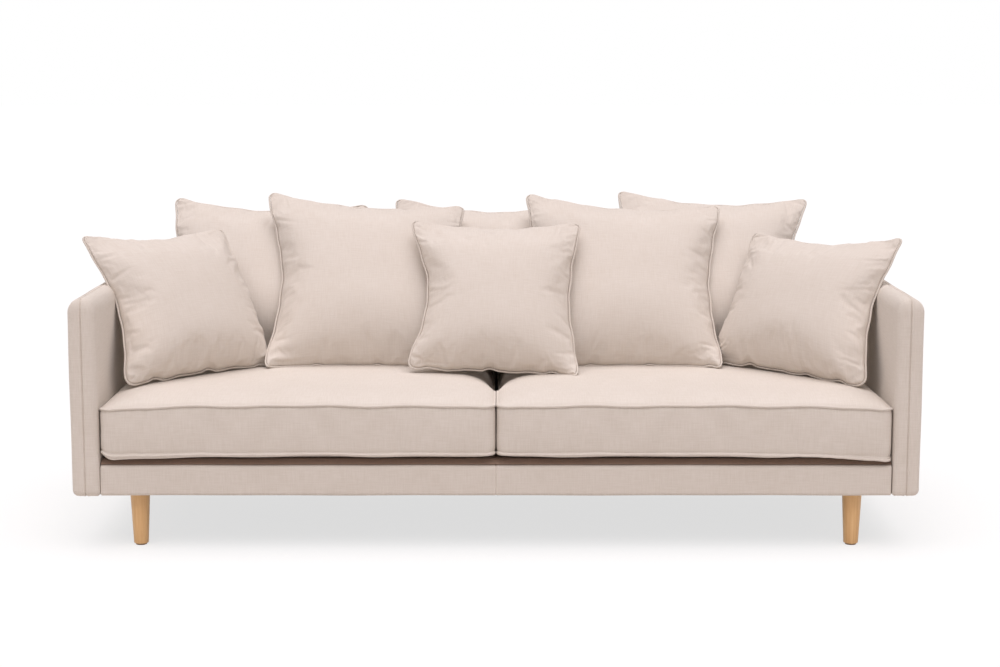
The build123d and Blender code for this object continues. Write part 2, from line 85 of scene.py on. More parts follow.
def add(tree, kind, inputs, **settings):
    """Add one shader node. Inputs maps a socket to a value, or to the output of another node."""
    node = tree.nodes.new(kind)
    for name, value in settings.items():
        setattr(node, name, value)
    for socket, value in inputs.items():
        if isinstance(value, bpy.types.NodeSocket):
            tree.links.new(value, node.inputs[socket])
        else:
            node.inputs[socket].default_value = value
    return node


def math(tree, operation, *values):
    """The output of a node that does one operation on its values."""
    return add(tree, "ShaderNodeMath", dict(enumerate(values)), operation=operation).outputs[0]


def mix(tree, factor, one, two):
    """The colour between two colours: the first at factor 0, the second at factor 1."""
    return add(tree, "ShaderNodeMix", {0: factor, 6: one, 7: two}, data_type="RGBA").outputs[2]


def new_material(name):
    """An empty material: its node tree, its shader and the material itself."""
    material = bpy.data.materials.new(name)
    material.use_nodes = True
    return material.node_tree, material.node_tree.nodes["Principled BSDF"], material


# %% [markdown]
# ## Linen
# Linen yarn is uneven: thick and thin places, called slubs, run along single threads in both directions.
# From across a room they are all that shows of the weave, as faint short streaks. The pattern lies in the
# cloth's own flat coordinates, so it follows each panel round its curves. The weave is drawn at 2.4 mm,
# about twice as coarse as the real cloth, because finer threads wouldn't show.

# %% Linen
thread_pitch = 2.4 * MM
thread_height = 0.6 * MM
slub_length = 45 * MM
slub_width = 3.2 * MM
cloud_size = 160 * MM
middle_tone = 1.25
tone_spread = 0.55
linen_finish = {"Roughness": 0.95, "Specular IOR Level": 0.15, "Sheen Weight": 0.12, "Sheen Roughness": 0.5}


def streaks(tree, cloth, along, across):
    """Noise drawn out along one direction of the cloth: one value per streak that size."""
    size = {"Vector": cloth, "Scale": (1 / along, 1 / across, 1)}
    stretched = add(tree, "ShaderNodeMapping", size).outputs[0]
    return add(tree, "ShaderNodeTexNoise", {"Vector": stretched, "Scale": 1, "Detail": 2}).outputs[0]


def linen(name, shade, light, streak=1.0):
    """Linen between two colours: streaks both ways, wide soft clouds, and a bump of threads and slubs.
    A wave texture of scale s has a band every pi / (10 s) metres."""
    tree, shader, material = new_material(name)
    cloth = add(tree, "ShaderNodeUVMap", {}, uv_map="cloth").outputs[0]
    weft = streaks(tree, cloth, slub_length, slub_width)
    warp = streaks(tree, cloth, slub_width, slub_length)
    cloud = streaks(tree, cloth, cloud_size, cloud_size)
    slubs = math(tree, "ADD", weft, warp)
    tone = math(tree, "MULTIPLY_ADD", cloud, 0.5, slubs)
    darkest = middle_tone - tone_spread / streak
    lightest = middle_tone + tone_spread / streak
    factor = add(tree, "ShaderNodeMapRange", {0: tone, 1: darkest, 2: lightest}).outputs[0]
    mixed = mix(tree, factor, linear(shade), linear(light))
    bands = 0.1 * np.pi / thread_pitch
    threads = [
        add(tree, "ShaderNodeTexWave", {"Vector": cloth, "Scale": bands}, bands_direction=way).outputs[1]
        for way in ("X", "Y")
    ]
    weave = math(tree, "MULTIPLY", *threads)
    height = math(tree, "MULTIPLY_ADD", weave, 0.5, slubs)
    bump = add(tree, "ShaderNodeBump", {"Height": height, "Strength": 0.35, "Distance": thread_height})
    tree.links.new(mixed, shader.inputs["Base Color"])
    tree.links.new(bump.outputs[0], shader.inputs["Normal"])
    for socket, value in linen_finish.items():
        shader.inputs[socket].default_value = value
    return material


# The cover and the loose cushions are one cloth: pale, warm, matt, with a soft bloom at the edges.
cover_linen = linen("linen_cover", "#d5ccc1", "#ded6cd", 1.6)
cushion_linen = linen("linen_cushion", "#d6ccc1", "#dfd7ce", 1.3)
piping_linen = linen("linen_piping", "#d5ccc1", "#ded6cd")
# The deck lining is the same yarn in a mid brown. The brown is painted shade: it stands for the dark gap
# above the front rail, under the seat cushions.
deck_shade_linen = linen("deck_painted_shade", "#947d6e", "#a0897a")
print("linen made")

# %% [markdown]
# ## Oak, timber, metal and the rest
# The legs are turned from a pale, straight-grained hardwood with a clear matt finish. Grain is noise
# drawn out along the leg. The hidden timber, foam and steel get plain materials of their own. A real one
# is never one even colour, so all of them have a mottle at the size of their grain.


# %% Plain materials
def mottled(name, dark, light, grain, roughness, metallic=0.0, bump=0.0):
    """A material between two colours, mottled by noise whose grain is a size in mm along x, y and z."""
    tree, shader, material = new_material(name)
    place = add(tree, "ShaderNodeTexCoord", {}).outputs["Object"]
    scale = tuple(1 / (size * MM) for size in grain)
    stretched = add(tree, "ShaderNodeMapping", {"Vector": place, "Scale": scale}).outputs[0]
    noise = add(tree, "ShaderNodeTexNoise", {"Vector": stretched, "Scale": 1, "Detail": 4}).outputs[0]
    factor = add(tree, "ShaderNodeMapRange", {0: noise, 1: 0.3, 2: 0.7}).outputs[0]
    mixed = mix(tree, factor, linear(dark), linear(light))
    tree.links.new(mixed, shader.inputs["Base Color"])
    if bump:
        raised = add(tree, "ShaderNodeBump", {"Height": noise, "Strength": 0.4, "Distance": bump})
        tree.links.new(raised.outputs[0], shader.inputs["Normal"])
    shader.inputs["Roughness"].default_value = roughness
    shader.inputs["Metallic"].default_value = metallic
    return material


# Two colours, the grain in millimetres, the roughness, how metallic it is, and the height of the grain.
plain = {
    # Oak: long pale stripes of grain up the leg, under a thin matt varnish.
    "leg_oak": ("#dfae74", "#efc58d", (8, 8, 200), 0.4, 0.0, 0.1 * MM),
    # Pine: yellower and flatter, with the grain along the sofa.
    "frame_timber": ("#c9a473", "#e0c497", (220, 9, 9), 0.7),
    # Black spunbond cloth: the dull dust cover under the base.
    "black_cambric": ("#1d1c1b", "#2b2a28", (2, 2, 2), 0.95),
    # Felt, webbing, foam and fibre: hidden and dull.
    "felt": ("#8d867c", "#a69f94", (4, 4, 4), 1.0),
    "webbing": ("#3b3a38", "#55524e", (3, 3, 12), 0.9),
    "foam": ("#e3d8a9", "#efe6c0", (6, 6, 6), 1.0),
    "fibre_fill": ("#eeebe4", "#fbf9f4", (10, 10, 10), 1.0),
    # Spring steel is dark and oily, the fittings are bright with zinc.
    "spring_steel": ("#4a4947", "#6b6966", (12, 12, 12), 0.42, 1.0),
    "zinc_steel": ("#a9adb2", "#c9ccd0", (15, 15, 15), 0.35, 1.0),
    # Moulded glides: brown plastic with a faint sheen.
    "glide_plastic": ("#8a6844", "#967350", (8, 8, 8), 0.4),
    # Zip: a woven tape in the colour of the cloth, and a dull nickel slider.
    "zip_tape": ("#bfae9f", "#cdbdaf", (1.5, 1.5, 1.5), 0.9),
    "zip_metal": ("#8f8a82", "#b3aea6", (6, 6, 6), 0.35, 1.0),
}
by_slot = {"linen_cover": cover_linen, "cushion_linen": cushion_linen, "deck_fabric": deck_shade_linen}
for name, looks in plain.items():
    by_slot[name] = mottled(name, *looks)
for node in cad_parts.values():
    slot_name = node.data.materials[0].name.split(".")[0]
    node.data.materials.clear()
    node.data.materials.append(by_slot[slot_name])
print(len(by_slot), "materials on the CAD nodes")

# %% [markdown]
# ## Surfaces
# Every new piece is one or more grids of points, and each square of a grid becomes one face. The cloth
# coordinates are kept in metres beside the points, for the linen.


# %% Surface helpers
def numbered(rows, columns):
    """A grid of numbers, counted from 0 row by row."""
    return np.arange(rows * columns).reshape(rows, columns)


def quads(index):
    """Faces of a grid of vertex numbers: each square of four neighbours is one face."""
    return np.stack([index[:-1, :-1], index[1:, :-1], index[1:, 1:], index[:-1, 1:]], -1).reshape(-1, 4)


def make(name, points, faces, material, cloth, body):
    """A smooth mesh object on a body, from points, faces and a cloth coordinate per face corner."""
    mesh = bpy.data.meshes.new(name)
    mesh.from_pydata(points.reshape(-1, 3).tolist(), [], faces.tolist())
    layer = mesh.uv_layers.new(name="cloth")
    layer.uv.foreach_set("vector", cloth.astype(np.float32).ravel())
    mesh.shade_smooth()
    mesh.materials.append(material)
    piece = bpy.data.objects.new(name, mesh)
    bpy.context.scene.collection.objects.link(piece)
    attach(piece, body)
    return piece


def subdivide(piece):
    """Halve the grid of a piece once, with rounded curves between its points."""
    fine = piece.modifiers.new("subdivision", "SUBSURF")
    fine.levels = 1
    fine.render_levels = 1


def box_corners(node):
    """Lowest and highest corner of a CAD node, as arrays."""
    return tuple(np.array(corner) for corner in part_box(node))


def unit(vectors):
    """Each vector over its own length."""
    return vectors / np.linalg.norm(vectors, axis=-1, keepdims=True)


def smooth_step(value, low, high):
    """0 below low, 1 above high, and three t squared less two t cubed between them."""
    share = np.clip((value - low) / (high - low), 0, 1)
    return share * share * (3 - 2 * share)


# %% [markdown]
# ## Piping
# Piping is a cord in a strip of bias-cut cloth, sewn into a seam. It is a circle carried along the seam.
# The circle stands square to the seam, and a second direction, square to the panel, says which way up it
# is.

# %% Piping helper
piping_radius = 2.8 * MM


def run_of(steps):
    """Distance along a path after each of its steps, from 0."""
    return np.concatenate([[0], np.cumsum(np.linalg.norm(steps, axis=1))])


def cord(name, body, path, up, outset=0.0, radius=piping_radius, sides=8):
    """A closed cord along a path: point plus radius times (cosine across + sine up) for each angle of the
    circle. The path runs anticlockwise round the up direction, so across and outset point outward."""
    along = unit(np.roll(path, -1, 0) - np.roll(path, 1, 0))
    across = unit(np.cross(along, up))
    above = np.cross(across, along)
    path = path + outset * across
    turn = np.linspace(0, 2 * np.pi, sides, endpoint=False)[None, :, None]
    points = path[:, None] + radius * (np.cos(turn) * across[:, None] + np.sin(turn) * above[:, None])
    count = len(path)
    index = np.pad(numbered(count, sides), ((0, 1), (0, 1)), mode="wrap")
    round_it = np.arange(sides + 1) * 2 * np.pi * radius / sides
    run = run_of(np.roll(path, -1, 0) - path)
    cloth = np.stack(np.meshgrid(run, round_it, indexing="ij"), -1).reshape(-1, 2)
    corners = quads(numbered(count + 1, sides + 1))
    return make(name, points, quads(index), piping_linen, cloth[corners.ravel()], body)


def rim(index):
    """The border of a grid, in order round it."""
    return np.concatenate([index[:-1, 0], index[-1, :-1], index[:0:-1, -1], index[0, :0:-1]])


# %% [markdown]
# ## Sewing patterns
# A loose cushion is two flat squares sewn round their border. A seat cushion is a boxed one: a top, a
# bottom and a band between them. Both start from a flat panel with rounded corners, on grid lines that
# lie closer together at the seams, where cloth bends most.

# %% Patterns
bottom_slope = 60 * MM


def grid_lines(count):
    """Numbers from -1 to 1, q times (1.25 less a quarter of q squared), so the last steps are shortest."""
    q = np.linspace(-1, 1, count)
    return q * (1.25 - 0.25 * q * q)


def panel(half, corner, counts):
    """A flat panel as a grid: a rectangle whose corner squares are bent into quarter circles."""
    x, y = np.meshgrid(half[0] * grid_lines(counts[0]), half[1] * grid_lines(counts[1]), indexing="ij")
    core_x = np.clip(x, corner - half[0], half[0] - corner)
    core_y = np.clip(y, corner - half[1], half[1] - corner)
    out_x = x - core_x
    out_y = y - core_y
    reach = np.maximum(abs(out_x), abs(out_y)) / np.maximum(np.hypot(out_x, out_y), 1e-9)
    return core_x + out_x * reach, core_y + out_y * reach


def boxed_bag(half, foot, rows, corner, counts):
    """Top, bottom and band: points, three grids of vertex numbers, faces and cloth coordinates per corner.
    Rows are the heights of the band's grid lines, from its lower edge to the upper seam. The bottom sinks
    to the foot near its edge."""
    low, high = rows[0], rows[-1]
    x, y = panel(half, corner, counts)
    inset = np.minimum(half[0] - abs(x), half[1] - abs(y))
    under = low + (foot - low) * smooth_step(inset, 0, bottom_slope)
    bottom = np.stack([x, y, under], -1).reshape(-1, 3)
    top = np.stack([x, y, np.full_like(x, high)], -1).reshape(-1, 3)
    size = x.size
    bottom_index = numbered(*x.shape)
    top_index = size + bottom_index
    border = top[rim(bottom_index)]
    band = border * np.array([1, 1, 0]) + np.array([0, 0, 1]) * rows[1:-1, None, None]
    inner = numbered(len(rows) - 2, len(border))
    band_index = np.vstack([rim(bottom_index), 2 * size + inner, rim(top_index)])
    run = run_of(np.roll(border, -1, 0) - border)
    band_cloth = np.stack(np.meshgrid(rows, run, indexing="ij")[::-1], -1).reshape(-1, 2)
    corners = quads(numbered(len(rows), len(run)))[:, ::-1]
    up, down = quads(bottom_index), quads(bottom_index)[:, ::-1]
    band_faces = quads(np.pad(band_index, ((0, 0), (0, 1)), mode="wrap"))[:, ::-1]
    faces = np.concatenate([down, size + up, band_faces])
    flat = np.stack([x, y], -1).reshape(-1, 2)
    cloth = np.concatenate([flat[down.ravel()], flat[up.ravel()], band_cloth[corners.ravel()]])
    points = np.concatenate([bottom, top, band.reshape(-1, 3)])
    return points, bottom_index, top_index, band_index, faces, cloth


# %% [markdown]
# ## Filling the bags
# Under the pressure of its fill a sewn bag finds its own form: the panels round up, and the spare cloth
# at the seams goes into puckers. The cloth simulation does that here. Seams that are held by a foam core
# or by a stiff piping are pinned. Slack makes the cloth a little longer than its start.

# %% Simulation
bag_cloth = dict(vertex_group_mass="pinned", quality=5, mass=0.02, tension_stiffness=15,
                 compression_stiffness=15, bending_stiffness=0.1, use_pressure=True)


def fill_bags(bags, frames):
    """Fill several bags at once, and give back the points of each. A bag is points, faces, pinned vertices,
    the share of slack and the pressure."""
    scene = bpy.context.scene
    pieces = []
    for number, (points, faces, pinned, slack, pressure) in enumerate(bags):
        mesh = bpy.data.meshes.new(f"bag_{number}")
        mesh.from_pydata(points.tolist(), [], faces.tolist())
        piece = bpy.data.objects.new(f"bag_{number}", mesh)
        scene.collection.objects.link(piece)
        group = piece.vertex_groups.new(name="pinned")
        group.add(pinned.tolist(), 1, "REPLACE")
        cloth = piece.modifiers.new("cloth", "CLOTH")
        for setting, value in bag_cloth.items():
            setattr(cloth.settings, setting, value)
        cloth.settings.shrink_min = -slack
        cloth.settings.uniform_pressure_force = pressure
        cloth.settings.effector_weights.gravity = 0
        cloth.collision_settings.use_collision = False
        cloth.point_cache.frame_start = 1
        cloth.point_cache.frame_end = frames
        pieces.append(piece)
    for step in range(1, frames + 1):
        scene.frame_set(step)
    graph = bpy.context.evaluated_depsgraph_get()
    filled = []
    for piece in pieces:
        mesh = piece.evaluated_get(graph).data
        points = np.empty(3 * len(mesh.vertices), np.float32)
        mesh.vertices.foreach_get("co", points)
        filled.append(points.reshape(-1, 3).astype(float))
    for piece in pieces:
        bpy.data.objects.remove(piece)
    scene.frame_set(1)
    return filled


# %% [markdown]
# ## The bags of the seat
# The sizes come from the CAD nodes. The rows of the band are close together at its foot: the bottom panel
# comes up over the edge of the foam, so the lower seam runs a little above the lowest edge.

# %% Make and fill the seat bags
seat_names = ("left_seat", "right_seat")
seat_counts = (60, 46)
seat_rows = np.array([258.5, 261, 264.5, 268, 270, 272, 288, 312, 336, 358, 376, 386, 388.5, 391.6]) * MM
lip_row = 3
seam_row = 2
groove_rows = (4, 12)
seat_corner = 24 * MM
seat_slack = 0.02
seat_pressure = 4
seat_frames = 14
seat_bags = {}
for name in seat_names:
    low, high = box_corners(f"{name}_cover")
    half = (high - low)[:2] / 2
    middle = np.append((high + low)[:2] / 2, 0)
    seat_bags[name] = (middle, half, *boxed_bag(half, low[2], seat_rows, seat_corner, seat_counts))
filled = fill_bags([
    (points, faces, np.unique(np.concatenate([bottom.ravel(), rim(top)])), seat_slack, seat_pressure)
    for middle, half, points, bottom, top, band, faces, cloth in seat_bags.values()
], seat_frames)
seat_filled = dict(zip(seat_bags, filled))
print(len(filled), "seat bags filled")

# %% [markdown]
# ## Shape of the seat cushions
# A boxed seat cushion has a foam core, so its seams run nearly straight, its top is crowned and its band
# swells a little at the front. It lies a little arched, with its outer end lowest. Behind the front the
# two cushions have parted, and each falls away towards the other.

# %% Crown and arch of a seat cushion
outer_side = {"left_seat": -1, "right_seat": 1}
crown_top = 427.6 * MM
crown_shoulder = 120 * MM
crown_least = 0.75
top_drift = 0.3
band_swell = 7 * MM
side_swell = 1.2 * MM
slack_wave = 1.2 * MM
arch_rise = 6 * MM
outer_drop = 13 * MM
inner_drop = 4 * MM
inner_hollow = 44 * MM
hollow_power = 8
hollow_reach = np.array([225, 440]) * MM


def seat_arch(name):
    """Rise of each point, its place outward, and how far it is parted from the other cushion. The rise
    falls with the cube of the place, and the parting is a high power of it behind the front."""
    half, start = seat_bags[name][1:3]
    outward = start[:, 0] / half[0] * outer_side[name]
    outer = np.clip(outward, 0, 1)
    inner = np.clip(-outward, 0, 1)
    slack = slack_wave * (np.sin(19 * start[:, 0] + 1) + np.sin(33 * start[:, 0] - 11 * start[:, 1]))
    parted = inner ** hollow_power * smooth_step(start[:, 1], *(hollow_reach - half[1]))
    arch = slack + arch_rise - outer_drop * outer ** 3 - inner_drop * inner ** 3
    return arch - inner_hollow * parted, outward, parted


def swell_seat(name, arch):
    """The pressed bag, scaled: its top to the CAD cushion's crown, with a quarter circle at each shoulder,
    and its band to the swell, inside the CAD cushion at the sides and the rear."""
    middle, half, start, _, top, band = seat_bags[name][:6]
    moved = seat_filled[name] - start
    inset = np.clip((half - abs(start[top, :2])) / crown_shoulder, 0, 1)
    shoulder = np.sqrt(1 - (1 - inset) ** 2).prod(-1)
    fullness = np.clip(moved[top, 2] / moved[top, 2].max(), 0, 1)
    crown = shoulder * (crown_least + (1 - crown_least) * fullness)
    moved[top, :2] *= top_drift
    moved[top, 2] = crown * (crown_top - seat_rows[-1] - arch[top])
    sides = band[1:-1].ravel()
    swell = moved[sides] * band_swell / abs(moved[sides, 1].min())
    swell[:, 0] = np.clip(swell[:, 0], -side_swell, side_swell)
    swell[:, 1] = np.clip(swell[:, 1], -band_swell, 0)
    moved[sides] = swell
    return start + moved + middle


# %% [markdown]
# The lip under the lower seam hangs lower towards the outer end. On the left the corner curls up, and on
# the right the seam comes down to the lip.

# %% Foot of a seat cushion
foot_drop = 11 * MM
seam_drop = {"left_seat": 0, "right_seat": 10 * MM}
outer_lift = {"left_seat": 9 * MM, "right_seat": 0}
inner_lift = 3 * MM
foot_ripple = 1.6 * MM
foot_zone = 50 * MM
corner_zone = 34 * MM
front_zone = np.array([50, 10]) * MM


def seat_foot(name, outward, x):
    """Rise of the front foot: the lift at the corners, and elsewhere two waves less a drop, which goes
    with the square of the place outward."""
    half, start = seat_bags[name][1:3]
    height = start[:, 2]
    near_foot = 1 - smooth_step(height, seat_rows[seam_row], seat_rows[seam_row] + foot_zone)
    lip = 1 - smooth_step(height, seat_rows[0], seat_rows[lip_row])
    above_lip = smooth_step(height, seat_rows[0], seat_rows[seam_row])
    front = smooth_step(-start[:, 1], *(half[1] - front_zone))
    lift = np.where(outward > 0, outer_lift[name], inner_lift)
    end = np.where(lift > 0, smooth_step(abs(start[:, 0]), half[0] - corner_zone, half[0]), 0)
    drop = np.clip(outward, 0, 1) ** 2 * (foot_drop * lip + seam_drop[name] * near_foot * above_lip)
    ripple = foot_ripple * (np.sin(14 * x + 2) + np.sin(23 * x))
    return front * (lift * end * near_foot + (ripple * lip - drop) * (1 - end))


# %% [markdown]
# ## Seat cushions
# The arch lifts the top in full, and the lower seam by a third. The cloth is drawn in beside both seams,
# and piping runs round them.

# %% Seat cushions
inner_gap = 6 * MM
low_arch = 0.35
foot_step = 4 * MM
groove_depth = 3 * MM
seat_piping_radius = 3.5 * MM
side_stand = 1.6 * MM
front_stand = 0.8 * seat_piping_radius
bridge_depth = 6 * MM
upright = np.array([0, 0, 1.0])
seat_tops = {}
for name in seat_names:
    middle, half, start, _, top, band, faces, cloth = seat_bags[name]
    arch, outward, parted = seat_arch(name)
    points = swell_seat(name, arch)
    above_seam = smooth_step(start[:, 2], seat_rows[seam_row], seat_rows[-1])
    points[:, 0] += outer_side[name] * inner_gap * parted * above_seam
    core = np.clip(start[:, :2], seat_corner - half, half - seat_corner)
    for row in groove_rows:
        points[band[row], :2] -= groove_depth * unit(start[band[row], :2] - core[band[row]])
    lifted = smooth_step(start[:, 2], seat_rows[0] - foot_step, seat_rows[0])
    points[:, 2] += arch * (low_arch + (1 - low_arch) * above_seam) * lifted
    points[:, 2] += seat_foot(name, outward, points[:, 0])
    points[:, 2] = np.maximum(points[:, 2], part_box(f"{name}_cover")[0][2])
    seat_tops[name] = points[top]
    body = f"{name}_cushion"
    piece = make(f"{name}_cushion_linen", points, faces, cover_linen, cloth, body)
    subdivide(piece)
    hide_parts(f"{name}_cover", f"{name}_core")
    reach = half - seat_piping_radius
    for level, loop, lift in (("upper", rim(top), seat_piping_radius / 2), ("lower", band[seam_row], 0)):
        path = points[loop] + lift * upright
        side = reach[0] + side_stand
        path[:, 0] = np.clip(path[:, 0], middle[0] - side, middle[0] + side)
        path[:, 1] = np.clip(path[:, 1], middle[1] - half[1] - front_stand, middle[1] + reach[1])
        cord(f"{name}_{level}_piping", body, path, upright, radius=seat_piping_radius)
    print(name, "crown", round(1000 * points[top, 2].max()), "mm high")


def seat_height(x, y):
    """Height of the seat under points x, y, read from the crowned grid on that side of the middle.

    A cushion bridges the falling edges of the crown, so the height never goes far below its top."""
    height = np.zeros_like(x)
    for name, grid in seat_tops.items():
        rows = (x - grid[0, 0, 0]) / (grid[-1, 0, 0] - grid[0, 0, 0]) * (grid.shape[0] - 1)
        columns = (y - grid[0, 0, 1]) / (grid[0, -1, 1] - grid[0, 0, 1]) * (grid.shape[1] - 1)
        row = np.clip(rows, 0, grid.shape[0] - 1.001)
        column = np.clip(columns, 0, grid.shape[1] - 1.001)
        i, j = row.astype(int), column.astype(int)
        a, b = row - i, column - j
        z = grid[..., 2]
        near = z[i, j] * (1 - a) + z[i + 1, j] * a
        far = z[i, j + 1] * (1 - a) + z[i + 1, j + 1] * a
        height = np.where((x < 0) == (name == "left_seat"), near * (1 - b) + far * b, height)
    return np.maximum(height, crown_top - bridge_depth)


# %% [markdown]
# ## Loose cushions
# Each loose cushion leans on what is behind it and has slumped in its own way: one top corner stands up
# and the other has dropped, the seams have drawn in, and on some the lower seam has rolled under. The
# photo gives these moves. A cushion lies on the leaning plane of its CAD cushion, and its lower edge
# settles on the seat.

# %% Loose cushion settings
large_size = 574 * MM
small_size = 476 * MM
# Per cushion, in degrees and millimetres: how it leans and is turned, how full it is to the front and to
# the back and how far the fill has sunk, how far the left, right and top seams have drawn in, how far the
# lower seam has rolled under, how far the lower left and right corners lie forward, and how far the
# corners have moved in the plane of the cushion (across, up): top left, top right, lower left, lower
# right.
rear_row = dict(lean=35, turn=0, full=(84, 46), sink=0.28, under=20, forward=(0, 0))
front_row = dict(lean=35, turn=0, full=(86, 46), sink=0.15, under=22)
settings = {
    "rear_left": dict(rear_row, draws=(22, 30, 26), corners=((-23, -10), (0, -34), (-20, 0), (0, 0))),
    "rear_centre": dict(rear_row, draws=(30, 30, 32), corners=((-4, -10), (-10, -28), (0, 0), (0, 0))),
    "rear_right": dict(rear_row, draws=(30, 80, 28), corners=((-22, 18), (-12, -12), (0, 0), (10, 0))),
    "front_left": dict(front_row, draws=(44, 34, 20), forward=(40, 15),
                       corners=((-43, 20), (-22, -28), (-20, 0), (-10, 0))),
    "front_right": dict(front_row, draws=(34, 34, 23), forward=(15, 40),
                        corners=((14, 16), (26, -26), (10, 0), (4, 0))),
    "small_centre": dict(lean=31, turn=0, full=(90, 36), sink=0.16, draws=(54, 28, 20), under=0,
                         forward=(0, 35), corners=((-13, 14), (8, 6), (-15, 14), (-6, -6))),
    "small_left": dict(lean=30, turn=44, full=(88, 36), sink=0.19, draws=(46, -6, 20), under=0,
                       forward=(0, 0), corners=((-35, -22), (-33, -31), (-44, -6), (-22, -9))),
    "small_right": dict(lean=30, turn=-44, full=(84, 36), sink=0.19, draws=(12, 40, 24), under=8,
                        forward=(0, 0), corners=((-24, -50), (10, -31), (-15, -1), (42, -9))),
}
print(len(settings), "loose cushions set")

# %% [markdown]
# A filled panel is a dome that leaves each seam steeply and stays thin in the corners. The seam is
# shorter than the cloth beside it, so the cloth gathers into short folds that run in from the seam and
# fade. The fill has sunk, so the dome is fullest below the middle.

# %% Shape of a filled panel
dome_power = 2.4
pucker_depth = 4.2 * MM
pucker_width = np.array([4.5, 8]) * MM
pucker_reach = np.array([4, 10]) * MM
pucker_slant = 0.5
pucker_ends = 0.9
pucker_stray = 0.04
wave_lengths = (90 * MM, 160 * MM)


def dome(u, v, sink):
    """Fullness between -1 and 1 each way: the root of (1 - |u| to a power) times (1 - |w| to that power),
    where w is v plus a share of (1 - v squared), which moves the top of the dome down."""
    sunk = v + sink * (1 - v * v)
    return np.sqrt((1 - abs(u) ** dome_power) * (1 - abs(sunk) ** dome_power))


def puckers(along, inset, count, random):
    """Short folds that run in from a seam. Across a fold the cloth dips as e to the power -a squared, with
    half as high a ridge beside it. Inwards it goes as d times e to the power 1 - d: deepest near the seam,
    then fading."""
    height = np.zeros_like(along)
    stray = random.uniform(-pucker_stray, pucker_stray, count)
    places = np.linspace(-pucker_ends, pucker_ends, count) + stray
    for place in places * along.max():
        width = random.uniform(*pucker_width)
        reach = random.uniform(*pucker_reach)
        slant = random.uniform(-pucker_slant, pucker_slant)
        deep = random.uniform(0.2, 1) ** 1.5 * pucker_depth
        across = (along - place - slant * inset) / width
        inward = inset / reach
        fold = 0.5 * np.exp(-(across - 2) ** 2) - np.exp(-across ** 2)
        height += deep * fold * inward * np.exp(1 - inward)
    return height


def seam_waves(along, random):
    """Half the sum of two waves of random phase, as a sewn edge has."""
    phases = random.uniform(0, 2 * np.pi, len(wave_lengths))
    waves = [np.sin(along / length * 2 * np.pi + phase) for length, phase in zip(wave_lengths, phases)]
    return sum(waves) / 2


# %% [markdown]
# The panel is first laid out in the plane of the cushion. A corner's move is shared over the whole
# cushion in proportion to how near a point is to it, which is the usual mapping of a square onto four
# corners.

# %% Layout of a panel
loose_count = 92
corner_radius = 24 * MM
draw_power = 1.6
seam_wave = 2.2 * MM
edge_power = 8
foot_draw = 8 * MM
lines = grid_lines(loose_count)
u, v = np.meshgrid(lines, lines, indexing="ij")


def lay_out(given, half, random):
    """A panel's flat pattern, and its places across and up the plane of the cushion.

    The seams draw in as (1 - v squared) to a power at the sides and (1 - u squared) at the top and foot."""
    x, y = panel((half, half), corner_radius, (loose_count, loose_count))
    s, t = x / half, y / half
    draw_left, draw_right, draw_top = np.array(given["draws"]) * MM
    draw_side = (draw_left * (1 - s) + draw_right * (1 + s)) / 2
    across = s * (half - draw_side * (1 - v ** 2) ** draw_power)
    across = across + seam_wave * seam_waves(y, random) * abs(u) ** edge_power
    up = t * (half - np.where(t > 0, draw_top, foot_draw) * (1 - u ** 2))
    up = up + seam_wave * seam_waves(x, random) * abs(v) ** edge_power
    near = [(1 - s) * (1 + t), (1 + s) * (1 + t), (1 - s) * (1 - t), (1 + s) * (1 - t)]
    moved = np.stack(near, -1) / 4 @ (np.array(given["corners"]) * MM)
    return x, y, across + moved[..., 0], up + moved[..., 1]


# %% [markdown]
# Then the foot rolls under, the lower corners come forward, the top edge rolls back, and the two domes
# are raised on the panel. Everything that would lie below the seat is lifted onto it.

